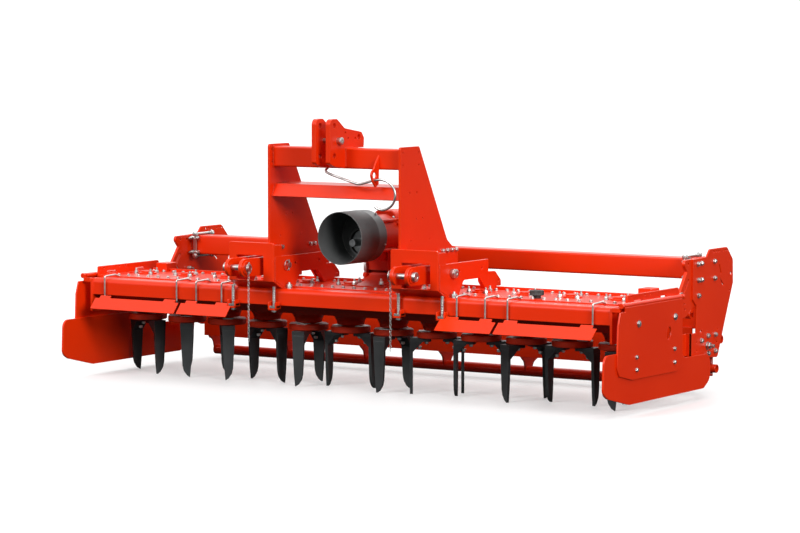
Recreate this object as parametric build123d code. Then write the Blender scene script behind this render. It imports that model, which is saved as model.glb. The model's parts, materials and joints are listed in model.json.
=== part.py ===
from build123d import *
import math
import os

# Mounted power harrow, 3 m working width, millimetres.
# X runs along the machine, -Y is the front where the tractor stands, +Z is up.
# Everything is drawn with the rotor line at Y = 0 and the tine tips at Z = 0.
# FRAME_SHIFT then moves each solid so that the row's origin is the middle of
# the machine's footprint.

os.makedirs("parts", exist_ok=True)

# driving dimensions
ROTOR_COUNT = 12
ROTOR_PITCH = 250.0
FRAME_SHIFT = -209.0

TROUGH_HALF = 1485.0
TROUGH_FRONT = -303.0
TROUGH_REAR = 200.0
TROUGH_TOP = 497.0
TROUGH_LOW = 416.0
TUB_HALF = 190.0
TUB_LOW = 365.0

DISC_RADIUS = 97.5
DISC_LOW = 273.0
DISC_TOP = 303.0
TINE_RADIUS = 124.0
TINE_THICK = 15.0

COLUMN_X = 371.0
COLUMN_THICK = 12.0
BEAM_SIZE = 100.0

HITCH_INNER = 338.0
HITCH_OUTER = 603.0
HITCH_FRONT = -357.0
LINK_PIN_Y = -460.0
LINK_PIN_Z = 605.0
LINK_PIVOT_Y = -233.0

SHIELD_X = 1553.0
SHIELD_HINGE_Z = 507.0

ARM_X = 1481.0
ARM_PIVOT_Y = 290.0
ARM_PIVOT_Z = 440.0

TUBE_Y = 690.0
TUBE_Z = 50.0
RIB_PITCH = 480.0

# phase of each rotor's first tine, in degrees from +X, as it stands
ROTOR_PHASE = [155, 125, 129, 159, 100, 3, 90, 32, 22, 68, 0, 103]


# helpers

def block(x0, x1, y0, y1, z0, z1):
    size = Box(x1 - x0, y1 - y0, z1 - z0)
    return Pos((x0 + x1) / 2, (y0 + y1) / 2, (z0 + z1) / 2) * size


def rod_x(y, z, radius, x0, x1):
    return Pos((x0 + x1) / 2, y, z) * Rot(0, 90, 0) * Cylinder(radius, x1 - x0)


def rod_y(x, z, radius, y0, y1):
    return Pos(x, (y0 + y1) / 2, z) * Rot(90, 0, 0) * Cylinder(radius, y1 - y0)


def rod_z(x, y, radius, z0, z1):
    return Pos(x, y, (z0 + z1) / 2) * Cylinder(radius, z1 - z0)


def rounded_face(points, radii):
    # closed flat outline in XY, radii is {corner index: radius}
    count = len(points)
    starts = []
    ends = []
    middles = []
    for index in range(count):
        here = Vector(*points[index])
        before = Vector(*points[index - 1])
        after = Vector(*points[(index + 1) % count])
        radius = radii.get(index, 0)
        if radius == 0:
            starts.append(here)
            ends.append(here)
            middles.append(None)
            continue
        to_before = (before - here).normalized()
        to_after = (after - here).normalized()
        cosine = max(-1.0, min(1.0, to_before.dot(to_after)))
        half = math.acos(cosine) / 2
        reach = radius / math.tan(half)
        centre = here + (to_before + to_after).normalized() * (radius / math.sin(half))
        starts.append(here + to_before * reach)
        ends.append(here + to_after * reach)
        middles.append(centre + (here - centre).normalized() * radius)
    edges = []
    for index in range(count):
        if middles[index] is not None:
            edges.append(ThreePointArc(starts[index], middles[index], ends[index]))
        following = starts[(index + 1) % count]
        if (following - ends[index]).length > 1e-6:
            edges.append(Line(ends[index], following))
    return make_face(edges)


def plate_x(points, x0, x1, radii={}):
    # points are (y, z), the plate spans x0 to x1
    face = rounded_face(points, radii)
    seat = Plane(origin=(x0, 0, 0), x_dir=(0, 1, 0), z_dir=(1, 0, 0))
    return extrude(seat * face, amount=x1 - x0)


def plate_y(points, y0, y1, radii={}):
    # points are (x, z), the plate spans y0 to y1
    face = rounded_face(points, radii)
    seat = Plane(origin=(0, y1, 0), x_dir=(1, 0, 0), z_dir=(0, -1, 0))
    return extrude(seat * face, amount=y1 - y0)


def plate_z(points, z0, z1, radii={}):
    face = rounded_face(points, radii)
    return extrude(Pos(0, 0, z0) * face, amount=z1 - z0)


def tongue_x(y, z, radius, end_y, x0, x1):
    # flat bar with a half round front end centred at (y, z)
    edges = [
        ThreePointArc((y, z + radius), (y - radius, z), (y, z - radius)),
        Line((y, z - radius), (end_y, z - radius)),
        Line((end_y, z - radius), (end_y, z + radius)),
        Line((end_y, z + radius), (y, z + radius)),
    ]
    seat = Plane(origin=(x0, 0, 0), x_dir=(0, 1, 0), z_dir=(1, 0, 0))
    return extrude(seat * make_face(edges), amount=x1 - x0)


def bent_rod(points, radius, bend):
    path = FilletPolyline(*points, radius=bend)
    start = Plane(origin=path @ 0, z_dir=path % 0)
    return sweep(start * Circle(radius), path=path)


def turned(points):
    # points are (radius, z), turned about Z
    face = rounded_face(points, {})
    return revolve(Plane.XZ * face, axis=Axis.Z)


def mirrored(shape):
    return mirror(shape, about=Plane.YZ)


nodes = {}


def keep(name, *shapes):
    # the shapes that touch join, the others stay as separate solids
    whole = shapes[0]
    for shape in shapes[1:]:
        whole = whole + shape
    nodes[name] = whole


# gear trough: long upper box, narrower tub below, one bearing neck per rotor

trough_outline = [
    (TROUGH_FRONT, TROUGH_LOW),
    (TROUGH_FRONT, TROUGH_TOP),
    (TROUGH_REAR, TROUGH_TOP),
    (TROUGH_REAR, TROUGH_LOW),
    (TUB_HALF, TROUGH_LOW),
    (TUB_HALF - 25, TUB_LOW),
    (-TUB_HALF + 25, TUB_LOW),
    (-TUB_HALF, TROUGH_LOW),
]
trough = plate_x(trough_outline, -TROUGH_HALF, TROUGH_HALF, {1: 22})
trough = trough + block(-TROUGH_HALF, TROUGH_HALF, TROUGH_REAR - 12, TROUGH_REAR, TROUGH_TOP, TROUGH_TOP + 20)
rotor_x = []
for index in range(ROTOR_COUNT):
    rotor_x.append((index - (ROTOR_COUNT - 1) / 2) * ROTOR_PITCH)
keep("gear_trough", trough)

# one bearing housing per rotor, bolted up against the tub
housing_outline = [(0, 335), (37, 335), (37, 311), (66, 311), (70, 330), (84, 353), (84, TUB_LOW), (0, TUB_LOW)]
housing = turned(housing_outline)
nodes["bearing_housings"] = Compound([Pos(x, 0, 0) * housing for x in rotor_x])

# bolted cover with a lobed bearing cap over each rotor
cover = block(-1470, 1470, -200, 165, TROUGH_TOP, TROUGH_TOP + 6)
for x in rotor_x:
    lobes = []
    for angle in (200, 320, 80):
        lobes.append((x + 62 * math.cos(math.radians(angle)), 62 * math.sin(math.radians(angle))))
    flange = plate_z(lobes, TROUGH_TOP + 6, TROUGH_TOP + 11, {0: 14, 1: 14, 2: 14})
    cover = cover + flange + rod_z(x, 0, 46, TROUGH_TOP + 6, TROUGH_TOP + 13)
    cover = cover + rod_z(x, 0, 34, TROUGH_TOP + 13, TROUGH_TOP + 22)

# gearbox in the middle of the cover, the cover is cut back around its foot
foot_points = [(-165, -60), (165, -60), (165, 185), (-165, 185)]
cover = cover - block(-168, 168, -63, 188, TROUGH_TOP - 5, TROUGH_TOP + 40)
keep("trough_cover", cover)

foot = plate_z(foot_points, TROUGH_TOP, TROUGH_TOP + 10, {0: 20, 1: 20, 2: 20, 3: 20})
flare = loft([
    Pos(0, 65, TROUGH_TOP + 10) * Rectangle(290, 215),
    Pos(0, 110, TROUGH_TOP + 45) * Rectangle(220, 160),
])
body_points = [(-112, 40), (112, 40), (112, 245), (-112, 245)]
body = plate_z(body_points, 530, 838, {0: 18, 1: 18, 2: 18, 3: 18})
lip = plate_z([(-120, 32), (120, 32), (120, 253), (-120, 253)], 806, 822, {0: 22, 1: 22, 2: 22, 3: 22})
crown = loft([
    Pos(0, 142, 838) * Rectangle(214, 195),
    Pos(0, 142, 868) * Rectangle(120, 130),
])
input_boss = rod_y(0, 745, 96, -52, 40)
input_ring = rod_y(0, 745, 128, -63, -52)
rear_cover = plate_y([(-88, 575), (88, 575), (88, 800), (-88, 800)], 245, 285, {0: 40, 1: 40, 2: 40, 3: 40})
shaft_bore = rod_y(0, 725, 24, -80, 30)
keep("gearbox", foot + flare + body + lip + crown + input_boss + input_ring + rear_cover - shaft_bore)

# stub shaft that the tractor's drive shaft slides onto
stub = rod_y(0, 725, 17.5, -175, -68) + rod_y(0, 725, 58, -84, -68) + rod_y(0, 725, 19, -68, 25)
keep("pto_shaft", stub)

# open guard tube round the stub shaft
guard = rod_y(0, 750, 128, -284, -63.0) - rod_y(0, 750, 124, -285, -62)
keep("pto_guard", guard)

# end plates with the raised slotted bracket and the hinge rod of the side shield
end_outline = [
    (-309, 328),
    (-309, 497),
    (-255, 500),
    (-250, 548),
    (250, 550),
    (350, 545),
    (352, 400),
    (215, 380),
    (215, 328),
]
end_plate = plate_x(end_outline, TROUGH_HALF, TROUGH_HALF + 12, {0: 6, 1: 6, 3: 16, 5: 25, 6: 20, 8: 20})
for slot in ((-175, 523, 55), (10, 530, 60)):
    y, z, length = slot
    hole = block(1480, 1500, y - length / 2, y + length / 2, z - 6, z + 6)
    end_plate = end_plate - hole
end_plate = end_plate + block(1440, TROUGH_HALF, 160, 255, 520, 546)
hinge_lugs = []
for y in (-312, 274):
    lug = plate_x([(y, 480), (y, 524), (y + 16, 524), (y + 16, 480)], TROUGH_HALF + 12, SHIELD_X - 12)
    lug = lug + rod_y(SHIELD_X, SHIELD_HINGE_Z, 13, y, y + 16)
    lug = lug + block(SHIELD_X - 14, SHIELD_X - 8, y, y + 16, 498, 516)
    hinge_lugs.append(lug)
rod = rod_y(SHIELD_X, SHIELD_HINGE_Z, 6, -300, 300)
end_plate = end_plate + hinge_lugs[0] + hinge_lugs[1] + rod
pivot_pin = rod_x(ARM_PIVOT_Y, ARM_PIVOT_Z, 15, ARM_X - 8, TROUGH_HALF + 1)
pivot_head = rod_x(ARM_PIVOT_Y, ARM_PIVOT_Z, 22, ARM_X - 22, ARM_X - 6.5)
end_plate = end_plate + pivot_pin + pivot_head
keep("end_plate_right", end_plate)
keep("end_plate_left", mirrored(end_plate))

# headstock columns, standing inside the two lower hitch boxes, with the same
# cut-out that clears the bearing caps
cut_outline = [(-170, 490), (-170, 503), (-125, 570), (21, 570), (86, 503), (86, 490)]
column_outline = [
    (-338, 724),
    (-338, 1202),
    (-174, 1202),
    (78, 742),
    (124, 710),
    (177, 698),
    (177, 503),
    (-270, 503),
    (-270, 560),
    (-338, 655),
]
column = plate_x(column_outline, COLUMN_X, COLUMN_X + COLUMN_THICK, {1: 14, 2: 10, 3: 60, 5: 10})
for hole in ((-318, 1176), (-318, 1116), (-177, 1175), (-177, 1114), (-257, 983), (-195, 983)):
    column = column - rod_x(hole[0], hole[1], 5, COLUMN_X - 5, COLUMN_X + 20)
for hole in ((-199, 857), (-146, 859), (-248, 755), (-78, 754)):
    column = column - rod_x(hole[0], hole[1], 4, COLUMN_X - 5, COLUMN_X + 20)
column = column - plate_x(cut_outline, COLUMN_X - 5, COLUMN_X + 20, {2: 20, 3: 20})
column = column - rod_x(LINK_PIVOT_Y, 609, 15.5, COLUMN_X - 5, COLUMN_X + 20)
keep("headstock_column_right", column)
keep("headstock_column_left", mirrored(column))

# square tube across the top and the angled member under it
beam = block(-COLUMN_X, COLUMN_X, -309, -309 + BEAM_SIZE, 1092, 1190)
beam_edges = beam.edges().filter_by(Axis.X)
beam = fillet(beam_edges, 8)
beam = beam - block(-380, 380, -301, -301 + BEAM_SIZE - 16, 1100, 1182)
keep("top_beam", beam)

cross_outline = [
    (-322, 950),
    (-291, 1009),
    (-72, 1009),
    (-72, 1002),
    (-285, 1002),
    (-315, 947),
]
keep("cross_member", plate_x(cross_outline, -COLUMN_X, COLUMN_X))

# top link bracket, two thick cheeks over the beam
cheek_outline = [
    (-443, 1120),
    (-443, 1330),
    (-384, 1332),
    (-318, 1286),
    (-172, 1264),
    (-150, 1235),
    (-154, 1190),
    (-309, 1190),
    (-309, 1096),
    (-400, 1104),
]
cheek_right = plate_x(cheek_outline, 28, 53, {1: 28, 2: 24, 3: 30, 4: 20, 9: 30, 0: 12})
for hole in ((-406, 1299, 12.9), (-406, 1156, 12.9), (-195, 1241, 14), (-372, 1226, 12.6)):
    cheek_right = cheek_right - rod_x(hole[0], hole[1], hole[2], 20, 60)
for hole in ((-312, 1265, 6), (-347, 1236, 6), (-288, 1236, 6), (-227, 1237, 6)):
    cheek_right = cheek_right - rod_x(hole[0], hole[1], hole[2], 20, 60)
brace = block(-28, 28, -178, -160, 1190, 1240)
keep("top_link_bracket", cheek_right, mirrored(cheek_right), brace)
pin = rod_x(-372, 1226, 12.5, -72, 72) + rod_x(-372, 1226, 18, 53, 72)
keep("top_link_pin", pin)

# lower hitch boxes on the trough
window = plate_y([(403, 538), (559, 538), (559, 659), (403, 659)], -400, -300, {0: 8, 1: 8, 2: 8, 3: 8})
hitch_front = plate_y(
    [(HITCH_INNER, 534), (HITCH_OUTER, 534), (HITCH_OUTER, 722), (HITCH_INNER, 722)],
    HITCH_FRONT, HITCH_FRONT + 12, {2: 12, 3: 12},
)
hitch_front = hitch_front - window
low_outline = [(-357, 535), (-345, 535), (-262, 497), (-284, 497)]
hitch_low = plate_x(low_outline, HITCH_INNER, HITCH_OUTER)
side_outline = [
    (-345, 537),
    (-345, 656),
    (84, 656),
    (179, 587),
    (236, 536),
    (236, 503),
    (-262, 503),
    (-262, 499),
]
side = plate_x(side_outline, HITCH_OUTER - 12, HITCH_OUTER, {2: 30, 3: 40, 4: 25})
side = side - plate_x(cut_outline, HITCH_OUTER - 20, HITCH_OUTER + 10, {2: 20, 3: 20})
side = side - block(HITCH_OUTER - 20, HITCH_OUTER + 10, TROUGH_REAR - 15, 240, 490, TROUGH_TOP + 21)
for hole in ((-167, 616, 7), (40, 617, 7), (LINK_PIVOT_Y, 609, 15.5)):
    side = side - rod_x(hole[0], hole[1], hole[2], HITCH_OUTER - 20, HITCH_OUTER + 10)
inner = Pos(HITCH_INNER - HITCH_OUTER + 12, 0, 0) * side
side_top = block(HITCH_INNER, HITCH_OUTER, -345, -225, 700, 710)
side_top = side_top - block(COLUMN_X - 0.5, COLUMN_X + COLUMN_THICK + 0.5, -346, -200, 690, 720)
upper_outer = plate_x([(-345, 656), (-345, 710), (-225, 710), (-225, 656)], HITCH_OUTER - 12, HITCH_OUTER)
upper_inner = Pos(HITCH_INNER - HITCH_OUTER + 12, 0, 0) * upper_outer
hitch = hitch_front + hitch_low + side + inner + side_top + upper_outer + upper_inner
keep("hitch_box_right", hitch)
keep("hitch_box_left", mirrored(hitch))

# lower link arms, two cheeks with round eyes joined behind the window
for name, flip in (("right", False), ("left", True)):
    link = None
    for x in (425, 512):
        cheek = tongue_x(LINK_PIN_Y, LINK_PIN_Z, 44, -190, x, x + 20)
        link = cheek if link is None else link + cheek
    link = link + block(445, 512, -330, -200, 570, 582) + block(445, 512, -330, -200, 628, 640)
    link = link - rod_x(LINK_PIVOT_Y, 609, 15.1, 420, 540)
    link = link - rod_x(LINK_PIN_Y, LINK_PIN_Z, 14.1, 420, 540)
    cross_pin = rod_x(LINK_PIVOT_Y, 609, 15.0, HITCH_INNER - 12, HITCH_OUTER + 14)
    cross_pin = cross_pin + rod_x(LINK_PIVOT_Y, 609, 20, HITCH_OUTER + 0.5, HITCH_OUTER + 24)
    hitch_pin = rod_x(LINK_PIN_Y, LINK_PIN_Z, 14.0, 405, 545)
    hitch_pin = hitch_pin + rod_x(LINK_PIN_Y, LINK_PIN_Z, 20, 405, 424.5)
    if flip:
        link = mirrored(link)
        cross_pin = mirrored(cross_pin)
        hitch_pin = mirrored(hitch_pin)
    keep("lower_link_" + name, link)
    keep("link_pivot_pin_" + name, cross_pin)
    keep("lower_link_pin_" + name, hitch_pin)

# stone deflectors under the front edge, hung on wire hooks
deflector_pair = []
for first, last in ((606, 908), (925, 1445)):
    outline = [(first - 4, 0), (last - 4, 0), (last, 70), (last - 25, 70)]
    outline = outline + [(last - 25, 88), (last - 90, 88), (last - 90, 72)]
    outline = outline + [(first + 95, 72), (first + 95, 88), (first + 25, 88), (first + 25, 70), (first, 70)]
    face = rounded_face(outline, {0: 4, 1: 4})
    seat = Plane(origin=(0, -390, 350), x_dir=(1, 0, 0), z_dir=(0, -0.7071, 0.7071))
    deflector_pair.append(extrude(seat * face, amount=4))
keep("stone_deflectors", *deflector_pair, mirrored(deflector_pair[0]), mirrored(deflector_pair[1]))

wires = []
for x in (680, 835, 956, 1408):
    hook = bent_rod([
        (x, -200, TROUGH_TOP + 8),
        (x, -230, TROUGH_TOP + 16),
        (x, -314, TROUGH_TOP + 12),
        (x, -314, 404),
        (x, -300, 398),
    ], 4.5, 5)
    wires.append(hook)
    wires.append(mirrored(hook))
keep("deflector_wires", *wires)

# studs that clamp the hitch boxes to the trough's front edge
studs = []
for x in (360, 604):
    stud = rod_z(x, -320, 8, 392, 508)
    lug = block(x - 24, x + 24, -336, -303, 404, 414) - rod_z(x, -320, 8, 380, 430)
    studs.append(stud)
    studs.append(lug)
    studs.append(mirrored(stud))
    studs.append(mirrored(lug))
keep("clamp_studs", *studs)

# hose holder rod that hangs from the beam
holder = bent_rod([
    (-53, -330, 1086),
    (-40, -350, 1070),
    (156, -360, 1020),
    (270, -360, 1052),
    (345, -360, 1030),
    (362, -360, 960),
    (320, -360, 902),
    (247, -360, 914),
], 6, 18)
keep("hose_holder", holder)

# filler cap on the cover
keep("filler_cap", rod_z(1000, -120, 20, TROUGH_TOP + 6, TROUGH_TOP + 20) + rod_z(1000, -120, 34, TROUGH_TOP + 20, TROUGH_TOP + 45))

# side shields: upper plate that swings on its rolled top edge, skid plate bolted inside
shield_outline = [
    (-331, 500),
    (-357, 418),
    (-366, 228),
    (-343, 190),
    (-223, 163),
    (217, 162),
    (271, 188),
    (266, 500),
]
shield = plate_x(shield_outline, SHIELD_X + 4, SHIELD_X + 12, {2: 30, 4: 60, 5: 30, 6: 30})
roll = rod_y(SHIELD_X, SHIELD_HINGE_Z, 12, -290, 268) - rod_y(SHIELD_X, SHIELD_HINGE_Z, 6.6, -291, 269)
shield = shield + roll - rod_y(SHIELD_X, SHIELD_HINGE_Z, 6.6, -340, 300)
shield = shield - block(SHIELD_X - 20, SHIELD_X + 14, -335, -290, 480, 530)
shield = shield - plate_x([(115, 325), (135, 325), (152, 375), (132, 375)], SHIELD_X, SHIELD_X + 20, {0: 9, 1: 9, 2: 9, 3: 9})
skid_outline = [
    (-472, 294),
    (-480, 120),
    (-437, 96),
    (-237, 50),
    (505, 52),
    (570, 90),
    (574, 214),
    (300, 216),
    (240, 290),
]
skid = plate_x(skid_outline, SHIELD_X - 6, SHIELD_X + 4, {0: 40, 1: 40, 3: 60, 4: 40, 5: 50, 6: 50, 7: 40, 8: 40})
keep("side_shield_right", shield)
keep("side_shield_left", mirrored(shield))
keep("skid_plate_right", skid)
keep("skid_plate_left", mirrored(skid))

# rear arms, each an inner plate and a large outer plate for the roller
arm_outline = [
    (250, 400),
    (262, 478),
    (331, 536),
    (402, 611),
    (377, 644),
    (395, 668),
    (640, 668),
    (640, 440),
    (506, 432),
    (435, 395),
]
arm = plate_x(arm_outline, ARM_X - 6, ARM_X + 4, {0: 30, 1: 20, 4: 22, 5: 20})
plate_outline = [
    (500, 668),
    (640, 671),
    (672, 706),
    (854, 706),
    (919, 643),
    (922, 529),
    (837, 348),
    (762, 183),
    (700, 180),
    (470, 190),
    (470, 314),
    (538, 314),
    (538, 442),
    (500, 475),
]
rear_plate = plate_x(plate_outline, ARM_X + 4, ARM_X + 14, {2: 12, 3: 10, 4: 25, 7: 20})
for hole in ((712, 690, 6), (732, 690, 6), (752, 690, 6), (800, 690, 6), (820, 690, 6), (840, 690, 6)):
    rear_plate = rear_plate - rod_x(hole[0], hole[1], hole[2], ARM_X, ARM_X + 30)
slot_cut = plate_x([(380, 520), (420, 572), (408, 580), (368, 528)], ARM_X - 20, ARM_X + 10, {0: 6, 1: 6, 2: 6, 3: 6})
arm = arm - slot_cut
arm = arm - rod_x(ARM_PIVOT_Y, ARM_PIVOT_Z, 15.05, ARM_X - 20, ARM_X + 20)
rear_arm = arm + rear_plate
strap = plate_x([(688, 190), (752, 190), (754, 122), (740, 98), (706, 104)], ARM_X - 6, ARM_X + 4, {2: 10, 3: 15, 4: 10})
rear_arm = rear_arm + strap
for y, z in ((800, 262), (730, 122)):
    rear_arm = rear_arm + rod_x(y, z, 22, ARM_X - 22, ARM_X + 4) - rod_x(y, z, 17, ARM_X - 51, ARM_X + 30)
keep("rear_arm_right", rear_arm)
keep("rear_arm_left", mirrored(rear_arm))
rear_beam = block(-(ARM_X - 6), ARM_X - 6, 530, 630, 567, 667)
rear_beam = fillet(rear_beam.edges().filter_by(Axis.X), 8)
rear_beam = rear_beam - block(-1480, 1480, 538, 622, 575, 659)
keep("rear_beam", rear_beam)

# levelling board, and its bottom tube carried on curved ribs behind the board
board_outline = [(586, 132), (594, 132), (594, 322), (630, 322), (630, 330), (586, 330)]
keep("levelling_board", plate_x(board_outline, -1450, 1450, {4: 8}))
rib_outline = [(594, 150), (610, 132), (650, 100), (664, 50), (716, 50), (742, 92), (806, 118), (806, 146), (594, 300)]
tube = rod_x(TUBE_Y, TUBE_Z, 26, -1450, 1450) - rod_x(TUBE_Y, TUBE_Z, 21, -1451, 1451)
for step in range(-3, 4):
    x = step * RIB_PITCH
    rib = plate_x(rib_outline, x - 4, x + 4, {1: 8, 2: 30, 5: 30, 6: 8, 7: 12})
    tube = tube + (rib - rod_x(TUBE_Y, TUBE_Z, 25.9, x - 10, x + 10))
keep("levelling_tube", tube)

# rotors: disc and shaft, and two knife tines under it


def tine(hand):
    # drawn on the +X side of the rotor axis, tip on the side of sign hand
    blade_outline = [
        (-30, 250),
        (30, 250),
        (29, 180),
        (22, 60),
        (16, 0),
        (0, 10),
        (-16, 34),
        (-22, 60),
        (-29, 180),
    ]
    outline = []
    for u, z in blade_outline:
        outline.append((u * hand, z))
    face = rounded_face(outline, {6: 12})
    seat = Plane(origin=(TINE_RADIUS - TINE_THICK / 2, 0, 0), x_dir=(0, 1, 0), z_dir=(1, 0, 0))
    blade = extrude(seat * face, amount=TINE_THICK)
    shoulder = loft([
        Pos(TINE_RADIUS, 0, 205) * Rectangle(TINE_THICK, 58),
        Pos(TINE_RADIUS - 24, 0, DISC_LOW - 18) * Rectangle(62, 66),
    ])
    foot_plate = plate_z(
        [(28, -33), (TINE_RADIUS + 7, -33), (TINE_RADIUS + 7, 33), (28, 33)],
        DISC_LOW - 18, DISC_LOW, {0: 10, 3: 10},
    )
    return blade + shoulder + foot_plate


disc_outline = [
    (0, DISC_LOW),
    (DISC_RADIUS - 4, DISC_LOW),
    (DISC_RADIUS, DISC_LOW + 4),
    (DISC_RADIUS, DISC_TOP - 4),
    (DISC_RADIUS - 4, DISC_TOP),
    (34, DISC_TOP),
    (30, DISC_TOP + 4),
    (30, 329),
    (0, 329),
]
for index in range(ROTOR_COUNT):
    x = rotor_x[index]
    disc = turned(disc_outline)
    for angle in (0, 180):
        pad = Rot(0, 0, angle) * block(40, 88, -26, 26, DISC_TOP - 0.5, DISC_TOP + 3)
        disc = disc + pad
    hand = -1 if index % 2 == 0 else 1
    place = Pos(x, 0, 0) * Rot(0, 0, ROTOR_PHASE[index])
    first_tine = tine(hand)
    second_tine = Rot(0, 0, 180) * tine(hand)
    label = "%02d" % (index + 1)
    keep("rotor_%s" % label, place * disc)
    keep("tines_%s" % label, place * first_tine, place * second_tine)

for name, shape in nodes.items():
    export_step(Pos(0, FRAME_SHIFT, 0) * shape, "parts/%s.step" % name)
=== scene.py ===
import json
from math import cos, pi, radians, sin, sqrt, tan, tau

import bmesh
import bpy
from mathutils import Matrix, Vector
from mathutils.bvhtree import BVHTree


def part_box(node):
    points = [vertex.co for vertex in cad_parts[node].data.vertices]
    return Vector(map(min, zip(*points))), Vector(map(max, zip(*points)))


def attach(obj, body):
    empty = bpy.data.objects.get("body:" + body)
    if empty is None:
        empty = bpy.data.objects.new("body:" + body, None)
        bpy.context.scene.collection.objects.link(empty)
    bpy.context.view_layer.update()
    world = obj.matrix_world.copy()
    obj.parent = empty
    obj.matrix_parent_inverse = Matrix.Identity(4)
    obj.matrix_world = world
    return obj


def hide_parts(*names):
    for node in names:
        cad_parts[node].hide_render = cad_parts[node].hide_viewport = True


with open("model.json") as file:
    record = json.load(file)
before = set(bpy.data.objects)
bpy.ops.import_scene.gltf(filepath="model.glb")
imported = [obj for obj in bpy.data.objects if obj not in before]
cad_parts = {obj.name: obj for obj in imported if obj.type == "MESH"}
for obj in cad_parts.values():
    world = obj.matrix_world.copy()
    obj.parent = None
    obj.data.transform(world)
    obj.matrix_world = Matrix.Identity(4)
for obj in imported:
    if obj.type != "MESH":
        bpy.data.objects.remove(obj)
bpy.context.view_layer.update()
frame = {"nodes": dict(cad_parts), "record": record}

MM = 0.001

ROTOR_NAMES = ["rotor_%02d" % number for number in range(1, 13)]

# the rotor line is read off the frame, and every place below is counted from it
ROTOR_LOW, ROTOR_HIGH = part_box(ROTOR_NAMES[0])
ROTOR_Y = ((ROTOR_LOW + ROTOR_HIGH) / 2).y


def at(x, y, z):
    # millimetres measured from the rotor line, as metres in the frame
    return Vector((x * MM, ROTOR_Y + y * MM, z * MM))


# Materials

def hex_colour(text):
    # an sRGB hex value as the linear colour that a shader takes
    channels = []
    for start in (1, 3, 5):
        value = int(text[start:start + 2], 16) / 255
        linear = value / 12.92 if value <= 0.04045 else ((value + 0.055) / 1.055) ** 2.4
        channels.append(linear)
    return (*channels, 1.0)


# settings that several nodes share
TIMES = {"operation": "MULTIPLY"}
LOCALLY = {"rotation_space": "LOCAL"}
AS_COLOUR = {"data_type": "RGBA"}


def add(tree, kind, settings=None, **links):
    # one node; settings are its own properties, links set its inputs or join them to a
    # socket, or to the first output of a node
    node = tree.nodes.new(kind)
    for name, value in (settings or {}).items():
        setattr(node, name, value)
    for name, value in links.items():
        key = int(name[1:]) if name[0] == "i" and name[1:].isdigit() else name.replace("_", " ")
        if isinstance(value, bpy.types.Node):
            value = value.outputs[0]
        if isinstance(value, bpy.types.NodeSocket):
            tree.links.new(value, node.inputs[key])
        else:
            node.inputs[key].default_value = value
    return node


def new_material(name):
    material = bpy.data.materials.new(name)
    material.use_nodes = True
    tree = material.node_tree
    tree.nodes.clear()
    return material, tree


def new_finish(name, dark, light, edge, cloud, edge_width, gloss, grain, smudge=None, **constants):
    # Two close shades in soft clouds, a paler colour along edges where one is given, a
    # roughness that wanders between two values with the clouds or with smudges of its own,
    # and a fine grain over rounded edges. cloud and smudge are a size in millimetres and a
    # detail, grain is a size and a depth in millimetres and a detail, and constants are
    # the shader's other inputs.
    material, tree = new_material(name)
    place = add(tree, "ShaderNodeTexCoord").outputs["Object"]
    size, detail = cloud
    noise = add(tree, "ShaderNodeTexNoise", Vector=place, Scale=1 / (size * MM), Detail=detail)
    share = add(tree, "ShaderNodeMapRange", Value=noise, From_Min=0.33, From_Max=0.67)
    shades = add(tree, "ShaderNodeMix", AS_COLOUR, i0=share, i6=hex_colour(dark), i7=hex_colour(light))
    colour = shades.outputs[2]
    eased = add(tree, "ShaderNodeBevel", {"samples": 4}, Radius=edge_width * MM)
    if edge:
        # 1 along edges and 0 on flats, from how far the rounded normal leaves the flat one
        flat = add(tree, "ShaderNodeNewGeometry").outputs["Normal"]
        alike = add(tree, "ShaderNodeVectorMath", {"operation": "DOT_PRODUCT"}, i0=eased, i1=flat)
        mask = add(tree, "ShaderNodeMapRange", Value=alike.outputs["Value"], From_Min=1.0, From_Max=0.86)
        # the edge colour is laid on every edge alike
        paled_edges = add(tree, "ShaderNodeMix", AS_COLOUR, i0=mask, i6=colour, i7=hex_colour(edge))
        colour = paled_edges.outputs[2]
    if smudge:
        size, detail = smudge
        noise = add(tree, "ShaderNodeTexNoise", Vector=place, Scale=1 / (size * MM), Detail=detail)
    low, high = gloss
    roughness = add(tree, "ShaderNodeMapRange", Value=noise, To_Min=low, To_Max=high)
    size, depth, detail = grain
    fine = add(tree, "ShaderNodeTexNoise", Vector=place, Scale=1 / (size * MM), Detail=detail)
    bump = add(tree, "ShaderNodeBump", Height=fine, Strength=1.0, Distance=depth * MM, Normal=eased)
    shader = add(tree, "ShaderNodeBsdfPrincipled", Base_Color=colour, Roughness=roughness, Normal=bump,
                 **constants)
    add(tree, "ShaderNodeOutputMaterial", Surface=shader)
    return material


def paint(name, dark, light, edge, roughness, size, depth, coat):
    # Paint on iron and steel: an even colour, smudges that shift its gloss, and a lighter
    # colour along every edge.
    gloss = (roughness - 0.05, roughness + 0.06)
    grain = (size, depth, 2.0)
    return new_finish(name, dark, light, edge, (416.7, 3.0), 2.2, gloss, grain, smudge=(71.43, 4.0),
                      Coat_Weight=coat, Coat_Roughness=0.12, IOR=1.45, Specular_IOR_Level=0.4)


def metal(name, dark, light, roughness, spread, size, depth):
    # Bare or plated steel: full metal, its grey shifting over a couple of centimetres, and a
    # grain that blurs what it mirrors, drawn coarser than the real one so that it shows.
    gloss = (roughness - spread, roughness + spread)
    grain = (size, depth, 2.0)
    return new_finish(name, dark, light, None, (22.22, 3.0), 0.9, gloss, grain, Metallic=1.0)


def moulded(name, dark, light, edge, roughness, size, depth):
    # Plastic from a mould, and paint from a dip: matt, a fine even grain, a little paler
    # along every edge.
    gloss = (roughness - 0.07, roughness + 0.07)
    return new_finish(name, dark, light, edge, (111.1, 5.0), 2.5, gloss, (size, depth, 3.0))


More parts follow.
